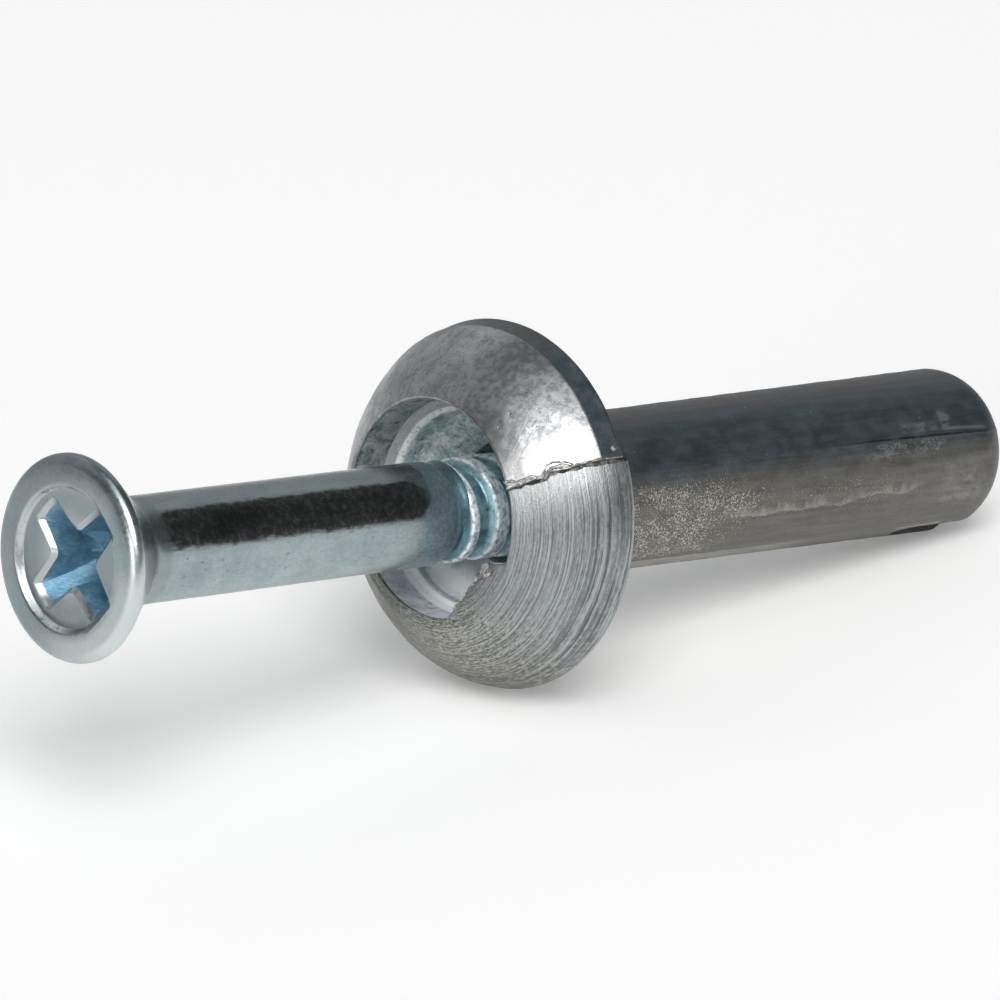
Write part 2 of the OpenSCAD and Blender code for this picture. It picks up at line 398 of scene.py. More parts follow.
    # worn light band on the lower land
    worn = (f.window(f.turn, -84, -77, -47.5, -46.5) * f.window(f.s, -0.5, 0.2, 13, 17.5)
            * f.ramp(f.noise(1.1, stretch=(0.5, 1, 1), shift=2), 0.3, 0.6, 0.45, 1)
            * f.ramp(f.r, 3.75, 3.45))
    f.paint(worn * 0.8, (0.42, 0.41, 0.38))
    rough = f.ramp(mottled, 0.3, 0.7, 0.44, 0.58) + fleck * 0.12
    normal = f.bump(streaks * 0.5 + grain * 0.45, 0.035, 0.6)
    normal = f.bump(fleck + mark, 0.025, 0.7, under=normal)
    return f.finish(rough, normal)


def smooth_cast_zinc():
    f = Finish("smooth_cast_zinc", 0.95)
    mottled = f.noise(0.9, 5, 0.6, shift=6, warp=0.4)
    cloud = f.noise(3.2, 5, 0.7, shift=16)
    fine = f.noise(9, 4, 0.7, shift=2)
    tone = mottled * 0.35 + cloud * 0.35 + fine * 0.3
    f.color = f.mix(f.ramp(tone, 0.41, 0.59), (0.29, 0.305, 0.32), (0.52, 0.525, 0.53))
    # fine scratches across each other, and dull rubbed patches
    scratch_a = f.noise(3, 3, 0.5, stretch=(0.12, 6, 0.5), shift=1)
    scratch_b = f.noise(3, 3, 0.5, stretch=(2.5, 0.2, 6), shift=14)
    f.paint(f.ramp(scratch_a, 0.6, 0.64) * 0.4, (0.62, 0.63, 0.64))
    f.paint(f.ramp(scratch_b, 0.62, 0.66) * 0.45, (0.2, 0.21, 0.22))
    dull = f.ramp(cloud, 0.54, 0.62) * f.ramp(fine, 0.42, 0.55)
    f.paint(dull * 0.45, (0.17, 0.175, 0.185))
    # painted shade: the skin is painted duller and more mottled above the painted highlight along the parting
    # line
    upper_dome_shade = (f.ramp(f.above + (cloud - 0.5) * 2.4 + (mottled - 0.5) * 1.6, 0.35, 1.9)
              * f.ramp(f.near, -1, 2))
    f.paint(upper_dome_shade * 0.62, f.mix(f.ramp(cloud, 0.42, 0.58), (0.2, 0.21, 0.22), (0.4, 0.41, 0.42)))
    # small dark pits, and a painted highlight: a bright strip along the parting line
    pit = f.flecks(1.4)
    pits = f.ramp(pit, 0.03, 0.09, 1, 0)
    f.paint(pits * 0.7, (0.1, 0.11, 0.12))
    # painted highlight just above the parting line on the near side
    parting_line_highlight = f.window(f.above, -0.4, 0, 0.3, 1.7) * f.ramp(f.near, 3, 4.2) * f.ramp(fine, 0.3, 0.6, 0.5, 1)
    f.paint(parting_line_highlight * 0.8, (0.86, 0.86, 0.85))
    normal = f.bump(pits, -0.02, 0.4)
    normal = f.bump(mottled, 0.04, 0.3, under=normal)
    normal = f.bump(scratch_a + scratch_b + fine * 0.35, 0.008, 0.5, under=normal)
    rough = f.ramp(tone, 0.38, 0.62, 0.43, 0.29) + dull * 0.12
    return f.finish(rough, normal)


def turned_zinc():
    f = Finish("turned_zinc", 0.92)
    # rings around the axis with the pitch of a tool, long ones above and torn short ones low on the left
    wobble = (f.noise(0.35, 1, 0.5, shift=4) - 0.5) * 0.1
    reach = f.r + wobble
    fine = f.noise_1d(reach, 13, 3, 0.9)
    coarse = f.noise_1d(reach, 5, 2, 0.7)
    broken = f.round_streaks(3, 19, 3, 0.7)
    torn = f.round_streaks(24, 20, 4, 0.8, shift=3)
    patch = f.noise(0.9, shift=12)
    ragged = f.ramp(f.turn + (patch - 0.5) * 60, -22, -75)
    rings = fine * 0.52 + broken * 0.32 + coarse * 0.16
    shade = (rings - 0.5) * (1 + ragged * -0.25) + 0.5 + (torn - 0.5) * (0.34 + ragged * 0.6)
    low = f.mix(ragged, (0.22, 0.235, 0.245), (0.135, 0.138, 0.122))
    high = f.mix(ragged, (0.49, 0.51, 0.52), (0.52, 0.53, 0.485))
    f.color = f.mix(f.ramp(shade, 0.41, 0.59), low, high)
    # painted shade on the far side, and darker low down on the near side
    far_side_shade = f.ramp(f.turn, -92, -120)
    f.paint(far_side_shade * 0.55, (0.14, 0.143, 0.135))
    under = f.ramp(f.r, 5, 7) * f.ramp(f.turn, -35, -75)
    f.paint(under * 0.45, (0.125, 0.128, 0.108))
    # light torn flecks and dark pits where the tool dug in
    flake = f.ramp(torn, 0.58, 0.64) * ragged * (1 + far_side_shade * -0.6)
    f.paint(flake * 0.6, (0.7, 0.7, 0.65))
    dug = f.ramp(torn, 0.39, 0.33) * (0.2 + ragged * 0.8)
    f.paint(dug * 0.6, (0.08, 0.08, 0.075))
    scored = (f.ramp(f.r, 6.3, 6.8) * f.ramp(f.turn, -60, -25)
              * f.ramp(f.noise_1d(f.r, 19, 1, 0.5) * 0.6 + broken * 0.4, 0.45, 0.4))
    f.paint(scored * 0.6, (0.09, 0.1, 0.11))
    # painted highlight: a pale band just below the parting line on the near side
    turned_line_highlight = f.ramp(f.above, -2.2, -0.3) * f.ramp(f.near, 2.5, 4.5)
    f.paint(turned_line_highlight * 0.4, (0.8, 0.82, 0.83))
    rough = f.ramp(patch * 0.5 + torn * 0.5, 0.35, 0.65, 0.28, 0.46)
    normal = f.bump(rings, 0.05, 0.7)
    normal = f.bump(torn + f.noise(14, 3, 0.6, shift=3), 0.03, 0.5, under=normal)
    return f.finish(rough, normal)


def seat_zinc():
    f = Finish("seat_zinc", 0.55)
    mottled = f.noise(1.9, 5, 0.68, shift=7, warp=0.7)
    grain = f.noise(7, 4, 0.65, shift=2)
    blotch = f.ramp(mottled * 0.6 + grain * 0.4, 0.4, 0.6)
    lower = f.ramp(f.above, 0.3, -0.4)
    # the wall is mottled above the parting line and smooth below it
    wall = f.mix(blotch, (0.22, 0.25, 0.245), (0.62, 0.66, 0.65))
    wall = f.mix(lower, wall, f.mix(f.ramp(mottled, 0.36, 0.7), (0.6, 0.6, 0.66), (0.9, 0.9, 0.95)))
    ledge = f.mix(mottled, (0.36, 0.385, 0.385), (0.52, 0.55, 0.55))
    ledge = f.mix(lower, ledge, (0.98, 0.98, 1.02))
    cavity = f.mix(f.ramp(mottled * 0.6 + grain * 0.4, 0.42, 0.58), (0.46, 0.6, 0.61), (0.92, 0.99, 1))
    # painted highlight: a bright patch in the cavity below the parting line, fading to a duller tone around it
    dull = abs(f.turn + 108 + (mottled - 0.5) * 30)
    dull = f.ramp(dull * 0.02 + abs(f.s + 0.95), 0.45, 1)
    cavity = f.mix(lower, cavity, f.mix(dull, (1.16, 1.16, 1.17), (0.6, 0.62, 0.66)))
    f.color = f.mix(f.ramp(f.s, -2.28, -2.2), wall, ledge)
    f.paint(f.ramp(f.s, -1.8, -1.72), cavity)
    # painted highlight: a bright line along the inner rim of the ledge, broken above the parting line and whole
    # below it
    ledge_rim_highlight = f.window(f.s, -2, -1.92, -1.8, -1.68)
    ledge_rim_highlight = ledge_rim_highlight * f.ramp(grain * 0.5 + mottled * 0.5 + lower * 0.3, 0.42, 0.5)
    # plain grey metal down the bore
    inside = f.ramp(f.s, 1.8, 2.8)
    f.paint(inside, f.mix(mottled, (0.17, 0.18, 0.185), (0.3, 0.31, 0.315)))
    # a dark turned line beside the lower rim
    f.paint(f.window(f.s, -1.66, -1.58, -1.54, -1.4) * lower * 0.5, (0.3, 0.31, 0.35))
    # the painted highlight on the ledge's rim
    f.paint(ledge_rim_highlight * 0.9, (1.12, 1.13, 1.12))
    spots = (f.ramp(grain * 0.5 + mottled * 0.5, 0.545, 0.585) * f.window(f.s, -1.72, -1.6, 1.5, 2.5)
             * f.ramp(lower, 0.5, 0.2))
    f.paint(spots * 0.9, (1.12, 1.13, 1.12))
    f.metal(0.55 + lower * -0.45 + ledge_rim_highlight * -0.3 + spots * -0.3)
    rough = f.ramp(mottled, 0.3, 0.7, 0.24, 0.42)
    rings = f.noise_1d(f.s, 9, 2, 0.6)
    depth = 1 + lower * -0.9
    normal = f.bump((grain + rings * 0.4 + mottled) * depth, 0.06, 0.7)
    return f.finish(rough, normal)


def flash_zinc():
    """The thin torn metal of the flash: rougher and greyer than the skin beside it."""
    f = Finish("flash_zinc", 0.8)
    mottled = f.noise(5, 4, 0.65, shift=13)
    f.color = f.mix(f.ramp(mottled, 0.4, 0.6), (0.2, 0.2, 0.19), (0.62, 0.62, 0.6))
    normal = f.bump(mottled, 0.05, 0.7)
    return f.finish(f.ramp(mottled, 0.3, 0.7, 0.5, 0.3), normal)


def seam_zinc():
    """The dark joint beside the flash, where the two halves of the mould met."""
    f = Finish("seam_zinc", 0.6)
    mottled = f.noise(4, shift=3)
    f.color = f.mix(f.ramp(mottled, 0.4, 0.62), (0.035, 0.035, 0.033), (0.22, 0.22, 0.21))
    normal = f.bump(f.noise(11, 3, 0.6, shift=8), 0.03, 0.8)
    return f.finish(f.ramp(mottled, 0.3, 0.7, 0.6, 0.45), normal)


def plated_steel():
    f = Finish("plated_steel", 1)
    cloud = f.noise(0.45, 5, 0.6, shift=5, warp=0.3)
    fine = f.noise(6, shift=3)
    f.color = f.mix(f.ramp(cloud * 0.7 + fine * 0.3, 0.36, 0.62), (0.335, 0.415, 0.435),
                    (0.46, 0.55, 0.565))
    # darker mottled rubbing along the middle of the shank, with rounded ends
    ends = abs(f.s + 12.35) - 6.1
    lens = f.larger(ends, 0) * 16
    half = abs(f.turn - 37)
    half = half + lens + (f.noise(1.4, 5, 0.65, shift=9) - 0.5) * 16
    stain = (f.ramp(half, 20, 25, 1, 0) * f.window(f.s, -19.3, -19.05, -5.9, -5.2)
             * f.ramp(f.noise(3.6, 6, 0.8, shift=4, warp=0.8), 0.36, 0.56, 0.62, 1))
    f.paint(stain * 0.97, (0.078, 0.08, 0.072))
    # small dark rubbed marks, most of them below the stain
    rubbed = f.ramp(f.noise(5, 4, 0.7, stretch=(0.5, 1, 1), shift=31), 0.6, 0.68)
    rubbed = rubbed * f.ramp(f.turn, -75, 12) * f.window(f.s, -19.2, -18, -7, -5)
    f.paint(rubbed * 0.7, (0.12, 0.14, 0.135))
    front = f.s + (f.noise(0.8, shift=17) - 0.5) * 1.6 + abs(f.turn + 5) * -0.012
    front = f.ramp(front, -6.15, -5.85) * f.ramp(f.s, -3, -3.6)
    f.paint(front * 0.9, f.mix(f.ramp(fine, 0.4, 0.6), (0.22, 0.33, 0.37), (0.33, 0.46, 0.5)))
    # painted shade over the top of the shank
    over = f.ramp(f.turn, 62, 84) * f.window(f.s, -20.5, -18.5, 0, 1)
    f.paint(over * 0.45, (0.22, 0.25, 0.26))
    face = f.ramp(f.s, -21.75, -21.95)
    dish = face * f.ramp(f.r, RING_R - 0.05, RING_R - 0.2)
    f.paint(dish * 0.6, (0.33, 0.4, 0.44))
    # painted highlight along the step of the ring on the face, on the far side
    edge = (face * f.window(f.r, RING_R - 0.13, RING_R - 0.07, RING_R + 0.03, RING_R + 0.09)
            * f.ramp(f.near, 0.9, -0.3) * f.ramp(f.noise(2.6, 4, 0.7, shift=41), 0.4, 0.47, 0.1, 1))
    f.paint(edge * 0.85, (0.92, 0.97, 0.98))
    # painted reflection: a paler band on the lower near side of the face's rim
    light = face * f.ramp(f.r, RING_R + 0.12, RING_R + 0.5) * f.window(f.turn, -112, -88, -8, 12)
    f.paint(light * 0.6, (0.66, 0.72, 0.71))
    # painted shade: darker and bluer over the far side and the top of the face
    face_painted_shade = face * f.ramp(f.r, RING_R - 0.1, RING_R + 0.2) * f.ramp(f.near + f.above * -0.1, 2.2, -1.6)
    f.paint(face_painted_shade * 0.5, (0.19, 0.215, 0.24))
    # painted highlight on the chamfer of the cross, strongest on the far side
    cross_chamfer_highlight = (f.window(f.s, -22.07, -22.02, -21.85, -21.82) * f.ramp(f.r, RING_R - 0.25, RING_R - 0.35)
               * f.ramp(f.near, 1.4, 0.2, 0.25, 1))
    f.paint(cross_chamfer_highlight * 0.8, (0.92, 0.97, 0.98))
    # painted highlight on the rounded rim, on the near side
    face_rim_highlight = f.ramp(f.s, -20.6, -21) * f.ramp(f.r, 3.45, 3.65) * f.window(f.turn, -75, -45, 30, 55)
    f.paint(face_rim_highlight * 0.6, (0.86, 0.9, 0.9))
    neck = f.ramp(f.s, -18.7, -19)
    f.paint(neck * f.ramp(f.r, 3.2, 2.4) * 0.5, (0.3, 0.33, 0.335))
    scratch = f.noise(3, stretch=(0.25, 2, 2), shift=6)
    hair = f.flecks(1.1, stretch=(0.4, 1, 1))
    rough = f.ramp(cloud * 0.5 + scratch * 0.5, 0.35, 0.65, 0.2, 0.32)
    rough = rough + stain * 0.12 + front * 0.1 + neck * 0.06
    f.metal(1 + front * -0.16 + edge * -0.4)
    normal = f.bump(scratch + fine * 0.5, 0.012, 0.5)
    normal = f.bump(f.ramp(hair, 0, 0.04), 0.01, 0.4, under=normal)
    return f.finish(rough, normal)


def plated_thread():
    """The thread's plating is thicker, rougher and more blue-green than the shank's."""
    f = Finish("plated_thread", 0.6)
    cloud = f.noise(1.6, 5, 0.65, shift=9, warp=0.5)
    fine = f.noise(3.6, stretch=(1.6, 1, 1), shift=4)
    crest = f.ramp(f.r, SCREW_D / 2 - 0.16, SCREW_D / 2 - 0.03)
    root = f.mix(f.ramp(cloud, 0.38, 0.62), (0.17, 0.33, 0.38), (0.42, 0.66, 0.72))
    root = f.mix(f.ramp(f.s, -2.6, -3), root, (0.13, 0.26, 0.3))
    top = f.mix(f.ramp(fine, 0.4, 0.54), (0.42, 0.58, 0.64), (1.16, 1.2, 1.22))
    f.metal(0.65 + crest * -0.3)
    normal = f.bump(cloud + fine, 0.03, 0.6)
    return f.finish(f.ramp(cloud, 0.3, 0.7, 0.26, 0.42), normal, f.mix(crest, root, top))


def plated_recess():
    f = Finish("plated_recess", 0.55)
    cloud = f.noise(2.4, shift=2)
    brushed = f.noise(6, 3, 0.6, stretch=(1, 0.25, 3), shift=5)
    f.color = f.mix(f.ramp(cloud * 0.5 + brushed * 0.5, 0.4, 0.6), (0.13, 0.3, 0.43), (0.24, 0.43, 0.56))
    normal = f.bump(cloud + brushed, 0.03, 0.6)
    return f.finish(f.ramp(cloud, 0.3, 0.7, 0.42, 0.55), normal)


FINISHES = {"shank": as_cast_zinc(), "dome": smooth_cast_zinc(), "turned": turned_zinc(), "seat": seat_zinc(),
            "seam": seam_zinc(), "flash": flash_zinc()}
FINISH_ORDER = list(FINISHES)


# ---- casting

# the dome's centre along the axis, and its radius
DOME_C = (BAND_H ** 2 + (BAND_D / 2) ** 2 - HEAD_H ** 2 - (MOUTH_D / 2) ** 2) / (2 * (HEAD_H - BAND_H))
DOME_R = hypot(HEAD_H + DOME_C, MOUTH_D / 2)

# how far the parting line strays from its plane on the head, as (radius, stray) in millimetres
STRAY = ((4.2, -0.15), (4.91, -0.15), (5.36, -0.07), (5.6, -0.1), (5.74, 0.08), (6.35, 0.08), (7.04, 0.12),
         (7.3, 0.1))
# columns of the casting beside that line, in degrees from it
SEAM_TURNS = (-2.1, -1.15, -0.05, 0.05, 0.6, 1.5)


def dome_s(r):
    return DOME_C - sqrt(DOME_R ** 2 - r ** 2)


def stray(s, r, a, near_side):
    """Degrees that a point near the parting line moves around the axis, so that the line is ragged."""
    if abs(a) > STRAY_REACH or r < 2.5:
        return 0
    if s < 0.25:
        w = float(np.interp(r, [q[0] for q in STRAY], [q[1] for q in STRAY])) if near_side else 0
        if -1.3 < a < -0.6:
            # the lower lip of the joint wavers on its own, so that its width changes
            w += 0.09 * ripple(s, r, 0, 4.3, 51) - 0.02
        w += 0.035 * ripple(s, r, 0, 3.1, 31 + near_side) + 0.05 * ripple(s, r, 0, 1.1, 35 + 3 * near_side)
    else:
        w = 0.05 * ripple(s, r, 0, 0.35, 41 + near_side)
    return degrees(w / r) * (1 - abs(a) / STRAY_REACH) ** 1.5


def flash_mouth(turn):
    """Radius of the mouth on the lower half, with the flash that closes part of it along a straight edge."""
    closed_r, open_r = 3.58, 4.3
    if FLASH_FROM < turn < FLASH_TO:
        return 3.42 / cos(radians(turn + 36.1))
    if FLASH_TO <= turn < FLASH_OPEN:
        return closed_r + (open_r - closed_r) * (turn - FLASH_TO) / (FLASH_OPEN - FLASH_TO)
    if turn >= FLASH_OPEN:
        return open_r
    return 4.12 - 0.1 * sin(radians(min(90, (FLASH_FROM - turn) * 2)))


def casting_column(turn):
    """One closed column of the casting at this turn: its (s, r, turn) points and the finish at each."""
    a = (turn - PARTING_TURN + 180) % 360 - 180
    upper = a > 0
    step = 0 if upper else HALF_STEP
    from_line = min(abs(a), 180 - abs(a))
    near_side = abs(a) < 90
    r0, r1, rb = SHANK_D / 2, LEG_D / 2, BORE_D / 2
    leg_end = SHANK_L if near_side else SHANK_L - LEG_SHORT
    widening = (r1 - r0) / (SHANK_L - TIP_R - STRAIGHT_L - step)
    end_r = r0 + widening * (leg_end - TIP_R - STRAIGHT_L - step)
    pts, skins = [], []

    def put(points, skin):
        pts.extend(points)
        skins.extend([skin] * len(points))

    opening = degrees(asin((rb + 0.05 - (end_r - TIP_R)) / TIP_R))
    end_s = leg_end - TIP_R + TIP_R * cos(radians(opening))
    put([(end_s - 0.06, rb), (end_s - 0.01, rb + 0.015)], "shank")
    put(arc_points((leg_end - TIP_R, end_r - TIP_R), TIP_R, opening, 90, 18)[:-1], "shank")
    put(run((leg_end - TIP_R, end_r), (STRAIGHT_L + step, r0), 60), "shank")
    put(run((STRAIGHT_L + step, r0), (ROOT_FILL + step, r0), 18), "shank")
    put(arc_points((ROOT_FILL + step, r0 + ROOT_FILL), ROOT_FILL, -90, -180, 6), "shank")
    put(run((step, r0 + ROOT_FILL + 0.05), (step, HEAD_D / 2 - EDGE_R), 10), "shank")
    edge = "shank" if upper else "turned"
    put(arc_points((step - EDGE_R, HEAD_D / 2 - EDGE_R), EDGE_R, 0, 90, 5), edge)
    # side band, then the dome; the edge between them is crisp on the upper half and rounded on the lower one
    slope = (HEAD_D - BAND_D) / 2 / BAND_H
    band = lambda d: (step - d, HEAD_D / 2 - slope * d)
    dome = lambda t: (step + DOME_C + DOME_R * cos(t), DOME_R * sin(t))
    t_band = pi - atan2(BAND_D / 2, BAND_H + DOME_C)
    t_mouth = pi - atan2(MOUTH_D / 2, HEAD_H + DOME_C)
    if upper:
        put([band(0.25), band(0.6), band(BAND_H - 0.06)], "shank")
        put([dome(t_band)], "dome")
        reach = 0
    else:
        soft = 0.62
        reach = soft / DOME_R
        p0, p1, p2 = band(BAND_H - soft), band(BAND_H), dome(t_band + reach)
        put([p0] + bent(p0, p1, p2, (0.2, 0.5, 0.8)), "turned")
    skin = "dome" if upper else "turned"
    mouth_r = MOUTH_D / 2 if upper else flash_mouth(turn)
    mouth_s = -HEAD_H + step
    lip_r = 0.13 if upper else 0.09
    t_end = t_mouth - (lip_r + 0.02) / DOME_R
    put([dome(t_band + reach + (t_end - t_band - reach) * i / 48) for i in range(1, 49)], skin)
    # from the dome's top over a rounded lip into the mouth
    wall_r, wall_s = WALL_D / 2, -HEAD_H + WALL_H
    if not upper:
        wall_r = min(wall_r, 4.06)
    top_r = DOME_R * sin(t_end)
    put(run((dome(t_end)[0], top_r), (mouth_s + 0.01, mouth_r + lip_r), 5)[1:], skin)
    put([(mouth_s + 0.015 + lip_r * (1 - cos(t)), mouth_r + lip_r * (1 - sin(t)))
         for t in (0.15, 0.45, 0.8, 1.15)], skin)
    put([(mouth_s + 0.015 + 0.93 * lip_r, mouth_r + 0.002)], "seat")
    lip = 0.55 if mouth_r < wall_r - 0.02 else 0.26
    put([(mouth_s + lip, mouth_r), (mouth_s + lip + 0.05, max(mouth_r, wall_r))], "seat")
    ledge_s = wall_s + LEDGE_H
    well_s = ledge_s + WELL_H
    under_lip = mouth_r - 0.03 if upper else max(mouth_r, wall_r)
    put(run((mouth_s + lip + 0.1, under_lip), (wall_s, wall_r), 6), "seat")
    put(run((wall_s, wall_r), (ledge_s - 0.08, LEDGE_D / 2 + 0.1), 4), "seat")
    put([(ledge_s + d, LEDGE_D / 2 + out) for d, out in ((-0.08, 0.1), (-0.03, 0.045), (0.03, 0.012))], "seat")
    put(run((ledge_s + 0.1, LEDGE_D / 2 - 0.01), (well_s, WELL_D / 2), 4), "seat")
    throat_top = well_s + (WELL_D - THROAT_D) / 2 / tan_of(SEAT_ANGLE)
    put(run((well_s, WELL_D / 2), (throat_top, THROAT_D / 2), 8), "seat")
    put(run((throat_top, THROAT_D / 2), (THROAT_S, THROAT_D / 2), 4), "seat")
    bore_s = THROAT_S + (THROAT_D - BORE_D) / 2
    put(run((THROAT_S, THROAT_D / 2), (bore_s, rb), 2), "seat")
    put(run((bore_s, rb), (end_s - 0.06, rb), 14), "seat")
    # flat lands, cast unevenness and the ridge of flash along the parting line
    side = abs(sin(radians(a)))
    flat0 = sqrt(r0 ** 2 - (LAND_W / 2) ** 2)
    land_end = SLIT_START + SLIT_ROOT_W / 2 + step
    shaped = []
    line = a if near_side else (abs(a) - 180) * (1 if a > 0 else -1)
    for i, (s, r) in enumerate(pts):
        if skins[i] == "shank" and r > rb + 0.2 and step + 0.001 < s < land_end and r < r1 + 0.1 and side > 0.5:
            r = min(r, (flat0 + widening * max(0, s - STRAIGHT_L - step)) / side)
        if skins[i] == "seat" and r > THROAT_D / 2 - 0.1 and s > mouth_s + 0.1:
            # the seat is rough, but never stands further in than its true size
            if upper:
                r += (0.05 * max(0, 0.3 + ripple(s, r, turn, 1.3, 14))
                      + 0.012 * max(0, ripple(s, r, turn, 4.5, 3)))
            else:
                r += 0.02 + 0.02 * ripple(s, r, turn, 0.6, 14)
        elif skins[i] != "seat":
            bump = 0.014 * ripple(s, r, turn, 0.9, 4) + 0.007 * ripple(s, r, turn, 2.6, 9)
            if s > 18 and from_line < 2.5:
                ragged = 0.03 * (0.6 + 0.4 * ripple(s, r, 0, 1.8, 21))
                bump += ragged * (1 - from_line / 2.5) * min(1, (s - 18) / 4)
            if r > r1 + 0.5 and s < -0.15:
                s -= bump * 0.7
                r += bump * 0.7
            elif r > rb + 0.3:
                r += bump if s > 0.3 else 0.3 * bump
        shaped.append((s, r, turn + stray(s, r, line, near_side)))
    return shaped, skins


def parting_turns(count):
    """Turn angles for the columns, closer together at the parting line and at the edges of the lands."""
    turns = set(round(-180 + 360 * i / count, 4) for i in range(count))
    for centre in (PARTING_TURN, PARTING_TURN - 180):
        turns = {t for t in turns if abs(t - centre) > 2.4}
        turns |= {round(centre + d, 4) for d in SEAM_TURNS}
    half = degrees(asin(LAND_W / SHANK_D))
    for centre in (PARTING_TURN - 90, PARTING_TURN + 90):
        for edge in (centre - half, centre + half):
            turns = {t for t in turns if abs(t - edge) > 0.5}
            turns.add(round(edge, 4))
    for edge in (FLASH_FROM, FLASH_TO, FLASH_OPEN):
        turns = {t for t in turns if abs(t - edge) > 0.4}
        turns |= {edge - 0.02, edge + 0.02}
    return sorted(turns)


def slit_wedge():
    """The wedge that parts the two legs, with a round root."""
    end, root = SHANK_L + 2, SLIT_START + SLIT_ROOT_W / 2
    outline = [(end, -SLIT_TIP_W / 2), (end, SLIT_TIP_W / 2)]
    outline += [(root - cos(b) * SLIT_ROOT_W / 2, sin(b) * SLIT_ROOT_W / 2)
                for b in np.linspace(pi / 2, -pi / 2, 13)]
    p = radians(PARTING_TURN)
    mesh = lofted("slit_wedge", [[(s, -(w * cos(p) + x * sin(p)), w * sin(p) - x * cos(p))
                                  for s, w in outline] for x in (-LEG_D, LEG_D)])
    mesh.materials.append(FINISHES["shank"])
    return add("slit_wedge", mesh)


def bead(name, s, r, turn, size, seed, flat):
    """A small lump of metal left by the casting."""
    mesh = bpy.data.meshes.new(name)
    bm = bmesh.new()
    bmesh.ops.create_icosphere(bm, subdivisions=4, radius=1.0)
    a = radians(turn)
    for v in bm.verts:
        grow = 1 + 0.22 * noise.noise(v.co * 1.4 + Vector((seed, 0, 0)))
        v.co = Vector((v.co.x * flat[0], v.co.y * flat[1], v.co.z * flat[2])) * size * grow
        v.co = Vector((s + v.co.x, -(r * cos(a)) + v.co.y, r * sin(a) + v.co.z))
    bm.to_mesh(mesh)
    bm.free()
    return mesh


def flash_line(name, path, seed):
    """A ragged raised line of flash through (s, r, turn, thickness) points on the casting's skin."""
    fine = []
    for p, q in zip(path, path[1:]):
        steps = max(2, int(dist(p[:2], q[:2]) / 0.05) + int(abs(p[2] - q[2])))
        fine += [tuple(p[i] + (q[i] - p[i]) * k / steps for i in range(4)) for k in range(steps)]
    fine.append(path[-1])
    middle = []
    for s, r, turn, thick in fine:
        a = radians(turn)
        middle.append((Vector((s, -r * cos(a), r * sin(a))), thick))
    rings = []
    for k, (here, thick) in enumerate(middle):
        ahead = (middle[min(k + 1, len(middle) - 1)][0] - middle[max(k - 1, 0)][0]).normalized()
        out = Vector((here.x - DOME_C if here.x < -0.9 else 0, here.y, here.z)).normalized()
        side = ahead.cross(out).normalized()
        out = side.cross(ahead).normalized()
        size = thick * (0.75 + 0.5 * noise.noise(Vector((k * 0.23, seed, 0)))
                        + 0.3 * noise.noise(Vector((k * 0.9, seed, 5))))
        size = max(size, 0.3 * thick) * (0.3 if k in (0, len(middle) - 1) else 1)
        rings.append([here + (side * cos(b) + out * (sin(b) * 1.15 - 0.35)) * size
                      for b in (2 * pi * i / FLASH_SIDES for i in range(FLASH_SIDES))])
    return lofted(name, rings)


def on_dome(r, w, thick):
    """A point of the flash on the upper dome: radius, stray from the parting plane, thickness."""
    return (dome_s(r) - 0.01, r, PARTING_TURN + degrees(w / r), thick)


def flash_pieces():
    ridge = [on_dome(r, w + 0.045, 0.065) for r, w in STRAY if 4.4 < r < 7.05]
    ridge = [on_dome(4.46, -0.1, 0.09)] + ridge + [(-0.6, 7.16, 29, 0.04), (-0.05, 7.26, 28.8, 0.04)]
    start, loop, rib = ([on_dome(*point) for point in line] for line in (
        ((4.43, 0.12, 0.1), (4.62, 0.1, 0.09), (4.85, 0.02, 0.07), (5.1, 0.04, 0.08), (5.36, 0.08, 0.08),
         (5.58, 0, 0.06)),
        ((5.56, -0.06, 0.06), (5.7, 0.18, 0.07), (5.8, 0.36, 0.075), (5.95, 0.42, 0.07), (6.14, 0.38, 0.065),
         (6.32, 0.3, 0.06), (6.5, 0.13, 0.04)),
        ((5.76, 0.12, 0.07), (5.96, 0.22, 0.13), (6.18, 0.22, 0.11), (6.38, 0.14, 0.06))))
    far_turn = PARTING_TURN + 180
    far = [(dome_s(r) - 0.01, r, far_turn + 0.4 * ripple(0, r, 0, 1.3, 8), 0.035)
           for r in np.linspace(4.46, 7.05, 9)]
    far += [(-0.6, 7.16, far_turn + 0.2, 0.03), (-0.05, 7.25, far_turn, 0.02)]
    tongue = [(-3.66, 3.52, -20, 0.14), (-3.74, 3.56, -26, 0.17), (-3.78, 3.5, -31, 0.12),
              (-3.8, 3.5, -38, 0.06), (-3.8, 3.62, -50, 0.045), (-3.8, 3.85, -61, 0.05)]
    return [flash_line("ridge", ridge, 1), flash_line("start", start, 2), flash_line("loop", loop, 3),
            flash_line("rib", rib, 4), flash_line("far_ridge", far, 5),
            bead("bead_a", -0.41, 7.2, 31.8, 0.12, 1, (1.3, 1, 1)),
            bead("bead_b", -3.73, 3.62, -23, 0.25, 5, (0.8, 1, 1.25)),
            flash_line("tongue_edge", tongue, 6)]


